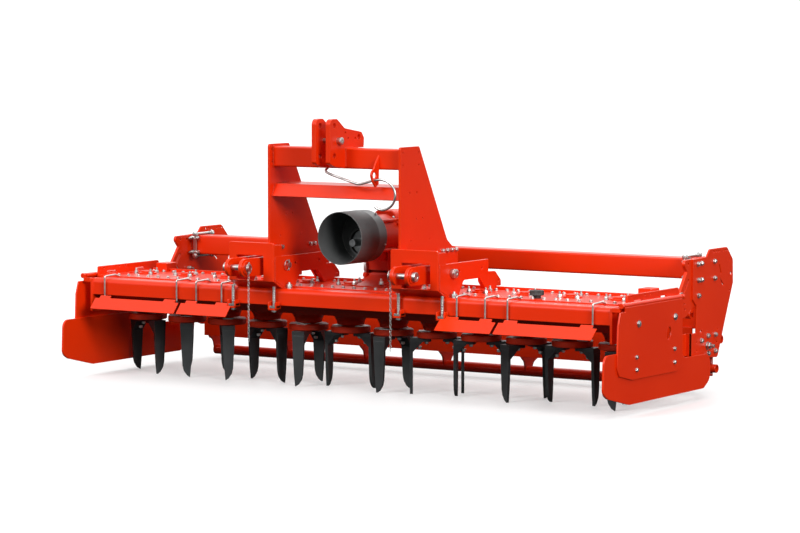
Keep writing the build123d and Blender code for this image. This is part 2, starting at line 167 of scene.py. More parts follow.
# polyester powder baked on steel sheet: glossy, with a faint orange peel of 3 mm
POWDER_COAT = paint(
    "powder_coated_steel_orange_red", "#E62E02", "#EC3304", "#FB4A16", 0.30, 3.0, 0.012, 0.06)
# the same red on iron cast in sand: darker and duller, with the sand's grain under it
PAINTED_CASTING = paint(
    "painted_cast_iron_orange_red", "#CC2904", "#DA2F06", "#EE4214", 0.44, 1.8, 0.09, 0.0)
# forged boron steel dipped in black paint: the forging's rough skin shows through it
TINE_PAINT = moulded(
    "dip_painted_forged_boron_steel", "#2B2D2E", "#353738", "#5A5C5E", 0.40, 1.6, 0.06)
# moulded polyethylene: dark grey, with the grain of its mould
GUARD_PLASTIC = moulded(
    "moulded_polyethylene_dark_grey", "#474848", "#505151", "#777978", 0.42, 1.1, 0.03)
# moulded nylon: near black, duller and finer than the guard
CAP_NYLON = moulded(
    "moulded_nylon_black", "#1C1D1D", "#252626", "#444645", 0.46, 0.9, 0.03)
# steel from a zinc bath: pale grey and bright
ZINC = metal("zinc_plated_steel", "#B2B5B4", "#CFD1CE", 0.32, 0.07, 0.5, 0.01)
# turned steel under a film of oil: darker and blunter than zinc
MACHINED = metal("machined_steel_oiled", "#6F7172", "#8C8E8F", 0.38, 0.08, 0.7, 0.02)

FINISH_OF_SLOT = {
    "red_paint": POWDER_COAT,
    "zinc_steel": ZINC,
    "bare_steel": MACHINED,
    "tine_steel": TINE_PAINT,
    "guard_plastic": GUARD_PLASTIC,
}
CAST_NODES = ["gearbox", *ROTOR_NAMES]

# the slot and the finish that most pieces take
RED = ("red_paint", POWDER_COAT)
CAST = ("red_paint", PAINTED_CASTING)
PLATED = ("zinc_steel", ZINC)


def dress_frame():
    slots = {}
    for part in frame["record"]["subparts"]:
        slots[part["node"]] = part["material_slot"]
    for name, node in frame["nodes"].items():
        finish = PAINTED_CASTING if name in CAST_NODES else FINISH_OF_SLOT[slots[name]]
        if name == "filler_cap":
            finish = CAP_NYLON
        node.data.materials.clear()
        node.data.materials.append(finish)


# Shapes drawn in mesh code; every size below is in millimetres

UP = (0, 0, 1)
DOWN = (0, 0, -1)
FRONT = (0, -1, 0)
REAR = (0, 1, 0)

ARC_STEPS = 6
SMOOTH_DEGREES = 32
MERGE_METRES = 0.00002


def placed(name, data):
    item = bpy.data.objects.new(name, data)
    bpy.context.scene.collection.objects.link(item)
    return item


def mesh_of(carrier):
    # what an object comes to with its bevels and modifiers; the object itself goes
    graph = bpy.context.evaluated_depsgraph_get()
    mesh = bpy.data.meshes.new_from_object(carrier.evaluated_get(graph), depsgraph=graph)
    carrier.modifiers.clear()
    bpy.data.objects.remove(carrier)
    return mesh


def skin(form, rings, loop=False):
    # walls between equal rings of corners, closed at both ends or round onto the first ring
    loops = []
    for ring in rings:
        loops.append([form.verts.new(corner) for corner in ring])
    pairs = list(zip(loops, loops[1:]))
    if loop:
        pairs.append((loops[-1], loops[0]))
    for low, high in pairs:
        for index in range(len(low)):
            after = (index + 1) % len(low)
            form.faces.new((low[index], low[after], high[after], high[index]))
    if not loop:
        form.faces.new(list(reversed(loops[0])))
        form.faces.new(loops[-1])


def round_steps(around):
    # cosine and sine of equal steps round a full turn
    return [(cos(tau * index / around), sin(tau * index / around)) for index in range(around)]


def turned(form, origin, axis, profile, around=24, ring_shaped=False):
    # rows of profile are height and radius, and the depth of a groove that sinks every
    # second corner; a ring shaped profile closes on itself round an open middle
    axis = Vector(axis).normalized()
    across = axis.orthogonal().normalized()
    along = axis.cross(across)
    rings = []
    for height, radius, *groove in profile:
        sunk = groove[0] if groove else 0
        ring = []
        for index, (u, v) in enumerate(round_steps(around)):
            reach = (radius - sunk * (index % 2)) * MM
            ring.append(origin + axis * height * MM + (across * u + along * v) * reach)
        rings.append(ring)
    skin(form, rings, ring_shaped)


def rounded(points, radii):
    # an outline whose corners are arcs, of one radius or as radii names them
    outline = []
    for index, point in enumerate(points):
        here = Vector(point)
        radius = radii.get(index, 0) if isinstance(radii, dict) else radii
        if radius == 0:
            outline.append(here)
            continue
        back = (Vector(points[index - 1]) - here).normalized()
        ahead = (Vector(points[(index + 1) % len(points)]) - here).normalized()
        half = back.angle(ahead) / 2
        centre = here + (back + ahead).normalized() * radius / sin(half)
        first = here + back * radius / tan(half) - centre
        last = here + ahead * radius / tan(half) - centre
        for step in range(ARC_STEPS + 1):
            spoke = first.lerp(last, step / ARC_STEPS).normalized()
            outline.append(centre + spoke * radius)
    return outline


def circle(across, up, radius, around=20):
    return [(across + radius * u, up + radius * v) for u, v in round_steps(around)]


def rectangle(low, high):
    return [low, (high[0], low[1]), high, (low[0], high[1])]


# which frame axes the outline's two directions and its thickness follow
PLANES = {"x": (1, 2, 0), "y": (0, 2, 1), "z": (0, 1, 2)}


def plate(form, plane, outline, low, high, radii=0, holes=(), edge=1.2):
    # sheet cut to an outline with holes and eased edges, square to one axis of the frame
    data = bpy.data.curves.new("outline", "CURVE")
    data.dimensions = "2D"
    data.fill_mode = "BOTH"
    data.extrude = (abs(high - low) / 2 - edge) * MM
    data.bevel_depth = edge * MM
    data.bevel_resolution = 0
    data.offset = -edge * MM
    for loop in [rounded(outline, radii), *holes]:
        spline = data.splines.new("POLY")
        spline.points.add(len(loop) - 1)
        for corner, (across, up) in zip(spline.points, loop):
            corner.co = (across * MM, up * MM, 0.0, 1.0)
        spline.use_cyclic_u = True
    mesh = mesh_of(placed("outline", data))
    across_axis, up_axis, thick_axis = PLANES[plane]
    turn = Matrix.Diagonal((0.0, 0.0, 0.0, 1.0))
    turn[across_axis][0] = 1.0
    turn[up_axis][1] = 1.0
    turn[thick_axis][2] = 1.0
    turn[thick_axis][3] = (low + high) / 2 * MM
    mesh.transform(Matrix.Translation(at(0, 0, 0)) @ turn)
    form.from_mesh(mesh)
    bpy.data.meshes.remove(mesh)


def brick(form, side, x, y, z, edge=1.2):
    # bar between pairs of values along the three axes, on the right or mirrored to the left
    outline = rectangle((y[0], z[0]), (y[1], z[1]))
    plate(form, "x", outline, *sorted(side * value for value in x), edge=edge)


def rod(form, start, end, radius, around=20):
    # turned bar with eased ends between two places
    reach = (end - start).length / MM
    ease = min(1.2, radius * 0.2)
    turned(form, start, end - start, [
        (0, radius - ease), (ease, radius), (reach - ease, radius), (reach, radius - ease),
    ], around)


def wire(form, points, radius, loop=False, around=8):
    # round wire along points, its section carried on without a twist
    count = len(points)
    tangents = []
    for index, point in enumerate(points):
        before = points[index - 1] if loop or index > 0 else point
        after = points[(index + 1) % count] if loop or index < count - 1 else point
        tangents.append((after - before).normalized())
    side = tangents[0].orthogonal().normalized()
    rings = []
    for point, tangent in zip(points, tangents):
        side = (side - tangent * side.dot(tangent)).normalized()
        other = tangent.cross(side)
        rings.append([point + (side * u + other * v) * radius * MM for u, v in round_steps(around)])
    skin(form, rings, loop)


def hoop(form, centre, axis, radius, thickness, around=32):
    axis = Vector(axis).normalized()
    across = axis.orthogonal().normalized()
    along = axis.cross(across)
    points = [centre + (across * u + along * v) * radius * MM for u, v in round_steps(around)]
    wire(form, points, thickness, loop=True)


def slab(form, low, high, rounding, turn=0.0, pivot=None):
    # flat bar with rounded edges; turn is in degrees about the upright line through pivot
    made = bmesh.ops.create_cube(form, size=1.0)["verts"]
    size = high - low
    bmesh.ops.scale(form, verts=made, vec=size)
    bmesh.ops.translate(form, verts=made, vec=(low + high) / 2)
    edges = set()
    for vert in made:
        edges.update(vert.link_edges)
    eased = bmesh.ops.bevel(form, geom=list(edges), offset=rounding * MM, segments=2, affect="EDGES")
    if pivot is not None:
        corners = set(eased["verts"])
        for face in eased["faces"]:
            corners.update(face.verts)
        spin = Matrix.Rotation(radians(turn), 3, "Z")
        bmesh.ops.rotate(form, verts=list(corners), cent=pivot, matrix=spin)


def finish_piece(name, body, mesh):
    mesh.polygons.foreach_set("use_smooth", [True] * len(mesh.polygons))
    mesh.set_sharp_from_angle(angle=radians(SMOOTH_DEGREES))
    piece = placed(name, mesh)
    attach(piece, body)
    return piece


def made_piece(name, body, slot, finish, form):
    bmesh.ops.remove_doubles(form, verts=form.verts, dist=MERGE_METRES)
    bmesh.ops.recalc_face_normals(form, faces=form.faces)
    mesh = bpy.data.meshes.new(name)
    form.to_mesh(mesh)
    form.free()
    mesh.materials.append(finish)
    return finish_piece(name, body, mesh)


# Geometry Nodes trees for what repeats or follows a line; their sizes are in metres

def new_tree(name, sizes):
    # a tree that takes geometry, its named sizes and the finish it leaves on its mesh
    tree = bpy.data.node_groups.new(name, "GeometryNodeTree")
    sockets = tree.interface
    sockets.new_socket("Geometry", in_out="INPUT", socket_type="NodeSocketGeometry")
    for label, value in sizes.items():
        kind = "NodeSocketInt" if isinstance(value, int) else "NodeSocketFloat"
        sockets.new_socket(label, in_out="INPUT", socket_type=kind).default_value = value
    sockets.new_socket("Finish", in_out="INPUT", socket_type="NodeSocketMaterial")
    sockets.new_socket("Geometry", in_out="OUTPUT", socket_type="NodeSocketGeometry")
    return tree, add(tree, "NodeGroupInput").outputs


def end_tree(tree, instances, given):
    real = add(tree, "GeometryNodeRealizeInstances", Geometry=instances)
    finished = add(tree, "GeometryNodeSetMaterial", Geometry=real, Material=given["Finish"])
    add(tree, "NodeGroupOutput", Geometry=finished)
    return tree


def hexagon_fastener():
    # a hexagon with a drawn in top on a round washer, and the end of its stud, stood on every
    # point along the point's own axis and turned by chance, as a spanner leaves them
    tree, given = new_tree("hexagon_fastener", {
        "Across Flats": 0.015, "Head Height": 0.007, "Washer Radius": 0.01, "Washer Thickness": 0.002,
        "Stud Radius": 0.004, "Stud Length": 0.001, "Seed": 7,
    })
    high, thick = given["Head Height"], given["Washer Thickness"]
    corner = add(tree, "ShaderNodeMath", {"operation": "DIVIDE"}, i0=given["Across Flats"], i1=sqrt(3))
    side = add(tree, "ShaderNodeMath", TIMES, i0=high, i1=0.84)
    slope = add(tree, "ShaderNodeMath", TIMES, i0=high, i1=0.16)
    prism = add(tree, "GeometryNodeMeshCylinder", Vertices=6, Radius=corner, Depth=side)
    raised = add(tree, "GeometryNodeExtrudeMesh", Mesh=prism, Selection=prism.outputs["Top"],
                 Offset_Scale=slope)
    drawn_in = add(tree, "GeometryNodeScaleElements", Geometry=raised,
                   Selection=raised.outputs["Top"], Scale=0.88)
    head_lift = add(tree, "ShaderNodeMath", {"operation": "MULTIPLY_ADD"}, i0=side, i1=0.5, i2=thick)
    disc = add(tree, "GeometryNodeMeshCylinder", Vertices=20, Radius=given["Washer Radius"], Depth=thick)
    disc_lift = add(tree, "ShaderNodeMath", TIMES, i0=thick, i1=0.5)
    narrow = add(tree, "ShaderNodeMath", TIMES, i0=given["Stud Radius"], i1=0.86)
    stud = add(tree, "GeometryNodeMeshCone", Vertices=12, Radius_Top=narrow,
               Radius_Bottom=given["Stud Radius"], Depth=given["Stud Length"])
    stud_lift = add(tree, "ShaderNodeMath", {"operation": "ADD"}, i0=high, i1=thick)
    whole = add(tree, "GeometryNodeJoinGeometry")
    for part, lift in ((drawn_in, head_lift), (disc, disc_lift), (stud, stud_lift)):
        place = add(tree, "ShaderNodeCombineXYZ", Z=lift)
        lifted = add(tree, "GeometryNodeTransform", Geometry=part, Translation=place)
        tree.links.new(lifted.outputs[0], whole.inputs[0])
    axis = add(tree, "GeometryNodeInputNamedAttribute", {"data_type": "FLOAT_VECTOR"}, Name="axis")
    upright = add(tree, "FunctionNodeAlignRotationToVector", {"axis": "Z"},
                  Vector=axis.outputs["Attribute"])
    chance = add(tree, "FunctionNodeRandomValue", i2=0.0, i3=tau, i8=given["Seed"])
    turn = add(tree, "FunctionNodeAxisAngleToRotation", Angle=chance.outputs[1])
    stance = add(tree, "FunctionNodeRotateRotation", LOCALLY, Rotation=upright, Rotate_By=turn)
    stood = add(tree, "GeometryNodeInstanceOnPoints", Points=given["Geometry"], Instance=whole,
                Rotation=stance)
    return end_tree(tree, stood, given)


def link_chain():
    # oval links of round wire along a line, each turned a quarter from the one before
    tree, given = new_tree("link_chain", {
        "Pitch": 0.012, "Link Length": 0.017, "Link Width": 0.009, "Wire Radius": 0.0012,
    })
    line = add(tree, "GeometryNodeMeshToCurve", Mesh=given["Geometry"])
    steps = add(tree, "GeometryNodeCurveToPoints", {"mode": "LENGTH"}, Curve=line, Length=given["Pitch"])
    oval = add(tree, "GeometryNodeCurvePrimitiveCircle", Resolution=12, Radius=0.5)
    stretch = add(tree, "ShaderNodeCombineXYZ", X=given["Link Width"], Y=given["Link Length"], Z=1.0)
    stretched = add(tree, "GeometryNodeTransform", Geometry=oval, Scale=stretch,
                    Rotation=(pi / 2, 0.0, 0.0))
    section = add(tree, "GeometryNodeCurvePrimitiveCircle", Resolution=6, Radius=given["Wire Radius"])
    link = add(tree, "GeometryNodeCurveToMesh", Curve=stretched, Profile_Curve=section)
    number = add(tree, "GeometryNodeInputIndex")
    quarter = add(tree, "ShaderNodeMath", TIMES, i0=number, i1=pi / 2)
    turn = add(tree, "FunctionNodeAxisAngleToRotation", Angle=quarter)
    stance = add(tree, "FunctionNodeRotateRotation", LOCALLY,
                 Rotation=steps.outputs["Rotation"], Rotate_By=turn)
    hung = add(tree, "GeometryNodeInstanceOnPoints", Points=steps, Instance=link, Rotation=stance)
    return end_tree(tree, hung, given)


def weld_bead():
    # overlapping flat drops along each line, as the pool of a weld sets; drops differ a little
    tree, given = new_tree("weld_bead", {"Drop Spacing": 0.006, "Bead Radius": 0.005, "Seed": 3})
    line = add(tree, "GeometryNodeMeshToCurve", Mesh=given["Geometry"])
    steps = add(tree, "GeometryNodeCurveToPoints", {"mode": "LENGTH"}, Curve=line,
                Length=given["Drop Spacing"])
    drop = add(tree, "GeometryNodeMeshUVSphere", Segments=8, Rings=5, Radius=given["Bead Radius"])
    spread = add(tree, "FunctionNodeRandomValue", i2=0.86, i3=1.1, i8=given["Seed"])
    laid = add(tree, "GeometryNodeInstanceOnPoints", Points=steps,
               Instance=drop, Rotation=steps.outputs["Rotation"], Scale=spread.outputs[1])
    return end_tree(tree, laid, given)


def screw_thread():
    # a ridge wound round a stud, from the lowest corner of the given mesh upwards
    tree, given = new_tree("screw_thread", {
        "Thread Radius": 0.009, "Thread Pitch": 0.004, "Thread Length": 0.1, "Ridge": 0.0012,
    })
    turns = add(tree, "ShaderNodeMath", {"operation": "DIVIDE"}, i0=given["Thread Length"],
                i1=given["Thread Pitch"])
    winding = add(tree, "GeometryNodeCurveSpiral", Resolution=18, Rotations=turns,
                  Start_Radius=given["Thread Radius"], End_Radius=given["Thread Radius"],
                  Height=given["Thread Length"])
    section = add(tree, "GeometryNodeCurvePrimitiveCircle", Resolution=4, Radius=given["Ridge"])
    ridge = add(tree, "GeometryNodeCurveToMesh", Curve=winding, Profile_Curve=section, Fill_Caps=True)
    stood = add(tree, "GeometryNodeInstanceOnPoints", Points=given["Geometry"], Instance=ridge)
    return end_tree(tree, stood, given)


FASTENER = hexagon_fastener()
CHAIN = link_chain()
WELD = weld_bead()
THREAD = screw_thread()


def grown_piece(name, body, slot, finish, tree, base, **sizes):
    # runs a tree on a base mesh and keeps what it makes as a plain mesh on one body
    carrier = placed(name + "_base", base)
    modifier = carrier.modifiers.new("grow", "NODES")
    modifier.node_group = tree
    sizes["Finish"] = finish
    for socket in tree.interface.items_tree:
        label = socket.name.replace(" ", "_")
        if socket.in_out == "INPUT" and label in sizes:
            modifier[socket.identifier] = sizes[label]
    mesh = mesh_of(carrier)
    mesh.name = name
    for field in [layer for layer in mesh.attributes if layer.name == "axis"]:
        mesh.attributes.remove(field)
    return finish_piece(name, body, mesh)


def bare_mesh(corners, edges=()):
    # points, and edges between them where some are given
    mesh = bpy.data.meshes.new("base")
    mesh.from_pydata(corners, edges, [])
    return mesh


def line_mesh(lines):
    # one chain of edges for each list of points
    corners = []
    edges = []
    for points in lines:
        first = len(corners)
        corners.extend(points)
        edges.extend((first + index, first + index + 1) for index in range(len(points) - 1))
    return bare_mesh(corners, edges)


SURFACES = {}
PROBE_REACH = 0.03


def surface_height(node, place, axis, reach):
    # how far along the axis the node's surface stands, the highest of six points round a place
    if node not in SURFACES:
        data = bpy.data.objects[node].data
        corners = [vertex.co for vertex in data.vertices]
        faces = [face.vertices for face in data.polygons]
        SURFACES[node] = BVHTree.FromPolygons(corners, faces)
    heights = []
    across = axis.orthogonal().normalized() * reach * MM
    for step in range(6):
        spoke = Matrix.Rotation(tau * step / 6, 3, axis) @ across
        above = place + spoke + axis * PROBE_REACH
        hit = SURFACES[node].ray_cast(above, -axis, 2 * PROBE_REACH)[0]
        if hit is not None:
            heights.append((hit - place).dot(axis))
    return max(heights, default=0.0)


# what the numbers of each fastener below say, by the sizes of its tree; a stud's length is
# what stands out of the head
FASTENER_SIZES = (
    "Across_Flats", "Head_Height", "Washer_Radius", "Washer_Thickness", "Stud_Radius", "Stud_Length",
)
COVER_BOLT = (15, 7, 10.5, 2, 3.5, 2)
CAP_NUT = (19, 12, 13, 2.5, 6, 14)
CLAMP_NUT = (26, 17, 15, 2.5, 8, 10)
FOOT_BOLT = (19, 9, 11, 2.5, 6, 2)
CASE_BOLT = (13, 7, 7, 1.5, 3.5, 2)
SHIELD_BOLT = (24, 6, 17, 1.5, 8, 0.8)
SKID_BOLT = (16, 6, 11, 1.5, 5, 0.8)
PLATE_BOLT = (20, 8, 13, 2.5, 6, 4)
PIVOT_NUT = (30, 14, 20, 3, 10, 20)
TINE_BOLT = (18, 10, 11, 2, 6, 2)
TUBE_SCREW = (9, 4, 6, 1.2, 3, 2)
CLAW_NUT = (22, 9, 13, 2, 7, 2)
BEAM_CLAMP_NUT = (19, 14, 11, 8, 6, 16)


def bolts(name, body, size, rows):
    # rows are (node it sits on, place, axis that its head looks along)
    sizes = {label: value * MM for label, value in zip(FASTENER_SIZES, size)}
    seat_radius = size[2] * 0.8
    places = []
    axes = []
    for node, place, axis in rows:
        direction = Vector(axis).normalized()
        seat = at(*place)
        places.append(seat + direction * surface_height(node, seat, direction, seat_radius))
        axes.append(direction)
    base = bare_mesh(places)
    field = base.attributes.new("axis", "FLOAT_VECTOR", "POINT")
    for entry, direction in zip(field.data, axes):
        entry.vector = direction
    grown_piece(name, body, *PLATED, FASTENER, base, **sizes)


SIDES = (("right", 1), ("left", -1))

# Plates and castings drawn here with their folds, slots, holes and eased edges

# places that several pieces share; a pair in brackets is (y, up)
SHAFT_UP = 725
GUARD_UP = 754
GUARD_RADIUS = 128
HINGE_X, HINGE_UP = 1553, 507
LINK_PIN = (-460, 605)
PIVOT_PIN = (-233, 609)
STOP_PIN = (360, 500)
SPINDLE_X, SPINDLE_Y = 1482, 727
CLAMPS_X, CLAMPS_Y = (360, 604), -320
SHIELD_FACE = 1565

# inner and outer face of each wall of a hitch box
HITCH_WALLS = ((591, 603), (338, 350))

# faces of the rear arms and of the plates on them
ARM_IN, ARM_OUT, PLATE_OUT = 1492.5, 1507.5, 1515.5

LOBE_REACH = 62


def cap_lobes(x):
    # the middles of the three lobes of the bearing cap at x
    lobes = [radians(degrees) for degrees in (200, 320, 80)]
    return [(x + LOBE_REACH * cos(angle), LOBE_REACH * sin(angle)) for angle in lobes]


def end_plates():
    trough_end = [
        (-303, 416), (-303, 497), (200, 497), (200, 416), (190, 416), (165, 365), (-165, 365), (-190, 416),
    ]
    end_outline = [(-309, 328), (-309, 497), (225, 497), (225, 410), (150, 328)]
    bracket = [(-217, 497), (-217, 549), (285, 549), (292, 530), (292, 497)]
    slots = []
    for first, last in ((-148, -68), (88, 165)):
        slots.append(rounded(rectangle((first, 511), (last, 522)), 5))
    for y in (-172, -46, 6):
        slots.append(circle(y, 539, 5))
    for label, side in SIDES:
        form = bmesh.new()
        plate(form, "x", trough_end, side * 1484, side * 1494, {1: 22}, edge=0.4)
        plate(form, "x", end_outline, side * 1493, side * 1505, {0: 6, 1: 6, 2: 6, 3: 12, 4: 12})
        plate(form, "x", bracket, side * 1523, side * 1533, {1: 8, 2: 8, 3: 8}, slots)
        brick(form, side, (1493, 1524), (-217, 215), (497, 505))
        brick(form, side, (1504, 1545), (-312, -296), (478, 498))
        brick(form, side, (1532, 1547), (276, 292), (499, 515))
        brick(form, side, (1381, 1449), (166, 255), (496, 546), 3)
        hinge = side * HINGE_X
        for y, end, radius in ((-312, -296, 13), (276, 292, 13), (-300, 300, 6)):
            rod(form, at(hinge, y, HINGE_UP), at(hinge, end, HINGE_UP), radius)
        pivot_lug = [(200, 395), (200, 485), (335, 485), (335, 395)]
        plate(form, "x", pivot_lug, side * 1470, side * 1486, {2: 42, 3: 42})
        rod(form, at(side * 1485, 290, 440), at(side * 1519, 290, 440), 15)
        rod(form, at(side * 1508.5, 290, 440), at(side * 1519.5, 290, 440), 22)
        piece = made_piece("slotted_end_plate_" + label, "frame", *RED, form)
        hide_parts("end_plate_" + label)


def rear_arms():
    arm_outline = [
        (250, 400), (262, 478), (352, 518), (422, 611), (392, 644), (398, 668),
        (600, 668), (600, 446), (535, 446), (478, 437), (405, 393),
    ]
    arm_holes = [circle(436, 648, 6), circle(494, 648, 6), circle(394, 459, 5.5), circle(404, 434, 5.5)]
    arm_holes.append(rounded([(385, 521), (432, 579), (443, 571), (397, 513)], 6))
    plate_outline = [
        (468, 668), (608, 671), (640, 706), (822, 706), (887, 643), (890, 529), (805, 348), (730, 178),
        (640, 184), (600, 198), (447, 206), (447, 314), (506, 314), (506, 442), (468, 475),
    ]
    small_holes = [
        (684, 691, 6), (709, 690, 4.5), (735, 690, 4.5), (782, 690, 4.5), (806, 690, 4.5), (830, 691, 6),
        (849, 638, 4), (852, 494, 4), (868, 575, 9), (555, 317, 8), (612, 313, 4), (729, 314, 4),
        (506, 268, 5), (507, 228, 5), (717, 252, 6),
    ]
    plate_holes = [circle(*hole, 14) for hole in small_holes]
    plate_holes.append([(738, 625), (746, 626), (764, 583), (756, 581)])
    plate_holes.append([(745, 563), (754, 556), (790, 525), (782, 520), (772, 530)])
    for label, side in SIDES:
        form = bmesh.new()
        arm_radii = {0: 30, 1: 20, 4: 18, 5: 17}
        plate(form, "x", arm_outline, side * ARM_IN, side * ARM_OUT, arm_radii, arm_holes)
        plate_radii = {2: 12, 3: 10, 4: 25, 7: 20}
        plate(form, "x", plate_outline, side * ARM_OUT, side * PLATE_OUT, plate_radii, plate_holes)
        brick(form, side, (1481.5, 1515.5), (447, 455), (206, 314))
        brick(form, side, (1481.5, 1489.5), (330, 448), (206, 312))
        brick(form, side, (1489.5, 1493), (494, 514), (408, 470), 0.8)
        brick(form, side, (1470, 1508), (713, 741), (180, 196), 2)
        spindle = (side * SPINDLE_X, SPINDLE_Y)
        rod(form, at(*spindle, 84), at(*spindle, 190), 9)
        for y, z, inner, outer in ((778, 260, 1446, 1512), (727, 122, 1472, 1514), (504, 402, 1446, 1490)):
            turned(form, at(side * inner, y, z), (side, 0, 0), [
                (0, 16), (0, 21), (outer - inner - 1, 21), (outer - inner, 20), (outer - inner, 16),
            ], 28, ring_shaped=True)
        piece = made_piece("drilled_rear_arm_" + label, "rear_frame", *RED, form)
        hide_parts("rear_arm_" + label)
    form = bmesh.new()
    plate(form, "x", rectangle((530, 567), (630, 667)), -1492, 1492, 9, edge=0.4)
    piece = made_piece("rear_square_tube", "rear_frame", *RED, form)
    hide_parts("rear_beam")


def gearbox_casting():
    form = bmesh.new()
    foot = [(-72, -58), (72, -58), (72, 30), (122, 70), (122, 185), (-122, 185), (-122, 70), (-72, 30)]
    plate(form, "z", foot, 497, 509, {0: 12, 1: 12, 4: 16, 5: 16}, edge=2)
    plate(form, "z", rectangle((-167, -62), (167, 187)), 497, 503, edge=0.8)
    for x in (-125, 125):
        plate(form, "z", cap_lobes(x), 502, 508, 14, edge=0.8)
        turned(form, at(x, 0, 502), UP, [(0, 46), (7, 46), (8, 45), (8, 34), (16, 34), (17, 33)], 40)
    apron = [(-56, 505), (-56, 509), (62, 529), (98, 552), (98, 575), (120, 575), (120, 505)]
    plate(form, "x", apron, -70, 70, {3: 20}, edge=1.5)
    shoulder = [(60, 505), (60, 528), (98, 552), (98, 575), (183, 575), (183, 505)]
    plate(form, "x", shoulder, -101, 101, {2: 12}, edge=3)
    for front, rear, low, high, corner in (
        ((-100, 98), (100, 262), 530, 804, 16),
        ((-110, 90), (110, 270), 801, 817, 20),
        ((-102, 98), (102, 262), 815, 832, 18),
    ):
        plate(form, "z", rectangle(front, rear), low, high, corner, edge=3)
    plate(form, "y", [(-68, 828), (-68, 869), (68, 869), (68, 828)], 112, 248, {1: 34, 2: 34}, edge=5)
    plate(form, "y", rectangle((-92, 560), (92, 795)), 260, 285, 40, edge=4)
    brick(form, 1, (33, 42), (84, 100), (550, 801), 2)
    rod(form, at(0, 76, 648), at(0, 100, 648), 27, 32)
    turned(form, at(0, -60, GUARD_UP), REAR, [
        (0, 116), (10, 116), (12, 96), (120, 92), (160, 98),
    ], 56)
    for degrees in (45, 135, 225, 315):
        angle = radians(degrees)
        x, z = 100 * cos(angle), GUARD_UP + 100 * sin(angle)
        rod(form, at(x, -54, z), at(x, 98, z), 9, 12)
    piece = made_piece("ribbed_gear_casing", "frame", *CAST, form)
    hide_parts("gearbox")


def shaft_guard():
    form = bmesh.new()
    turned(form, at(0, -284, GUARD_UP), REAR, [
        (0, 125), (0.8, 127.6), (3, GUARD_RADIUS), (150, GUARD_RADIUS), (152, 128.6), (158, 128.6),
        (160, GUARD_RADIUS), (224, 127), (224, 123), (3, 124),
    ], 80, ring_shaped=True)
    plate(form, "y", circle(0, GUARD_UP, 125, 64), -74, -62, holes=[circle(0, SHAFT_UP, 64, 40)], edge=1.5)
    turned(form, at(0, -96, SHAFT_UP), REAR, [
        (0, 64), (0, 70), (24, 78), (24, 64),
    ], 56, ring_shaped=True)
    piece = made_piece("round_shaft_guard", "frame", "guard_plastic", GUARD_PLASTIC, form)
    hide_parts("pto_guard")


def hitch_boxes():
    front = rectangle((338, 534), (603, 722))
    window = rounded(rectangle((398, 538), (559, 659)), 8)
    sill = [(-357, 535), (-345, 535), (-262, 497), (-284, 497)]
    side_outline = [
        (-345, 537), (-345, 656), (100, 656), (100, 503), (86, 503), (21, 570), (-125, 570), (-170, 503),
        (-262, 503), (-262, 499),
    ]
    tail_outline = [
        (40, 551), (40, 598), (186, 592), (238, 546), (238, 518), (186, 518), (186, 503), (86, 503),
    ]
    wing = [(-346, 655), (-346, 711), (-285, 711), (-285, 655)]
    for label, side in SIDES:
        form = bmesh.new()
        outline = [(side * x, z) for x, z in front]
        plate(form, "y", outline, -357, -345, {2: 12, 3: 12}, [[(side * x, z) for x, z in window]])
        plate(form, "x", sill, side * 338, side * 603, edge=0.8)
        for inner, outer in HITCH_WALLS:
            holes = [circle(-167, 616, 7), circle(40, 617, 7), circle(*PIVOT_PIN, 15.5)]
            plate(form, "x", side_outline, side * inner, side * outer, {2: 6, 5: 20, 6: 20}, holes)
            plate(form, "x", wing, side * inner, side * outer, {2: 10})
        for inner, outer in ((579, 591), (350, 362)):
            plate(form, "x", tail_outline, side * inner, side * outer, {2: 30, 3: 20}, [circle(214, 545, 6)])
        brick(form, side, (340, 371), (-346, -285), (701, 711))
        brick(form, side, (383, 601), (-346, -285), (701, 711))
        piece = made_piece("folded_hitch_box_" + label, "frame", *RED, form)
        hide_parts("hitch_box_" + label)


def lower_links():
    cheek = [(-504, 561), (-504, 649), (-190, 649), (-190, 561)]
    for label, side in SIDES:
        body = "lower_link_" + label
        form = bmesh.new()
        holes = [circle(*LINK_PIN, 14.4, 28), circle(*PIVOT_PIN, 15.3, 28)]
        for inner, outer in ((426, 444), (508, 526)):
            plate(form, "x", cheek, side * inner, side * outer, {0: 43.9, 1: 43.9}, holes, edge=1.5)
        for start in (420, 525.5):
            turned(form, at(side * start, *LINK_PIN), (side, 0, 0), [
                (0, 14.4), (0, 33), (6.5, 33), (6.5, 14.4),
            ], 36, ring_shaped=True)
        for z in (570, 628):
            brick(form, side, (442, 510), (-330, -200), (z, z + 12))
        piece = made_piece("bossed_lower_link_" + label, body, *RED, form)
        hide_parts("lower_link_" + label)
        pin = bmesh.new()
        rod(pin, at(side * 403, *LINK_PIN), at(side * 534, *LINK_PIN), 14, 32)
        turned(pin, at(side * 532.5, *LINK_PIN), (side, 0, 0), [
            (0, 22), (1, 23), (16, 23), (18, 21), (18.2, 11), (16, 8), (16, 3),
        ], 36)
        piece = made_piece("hitch_pin_" + label, body, *PLATED, pin)
        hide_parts("lower_link_pin_" + label)


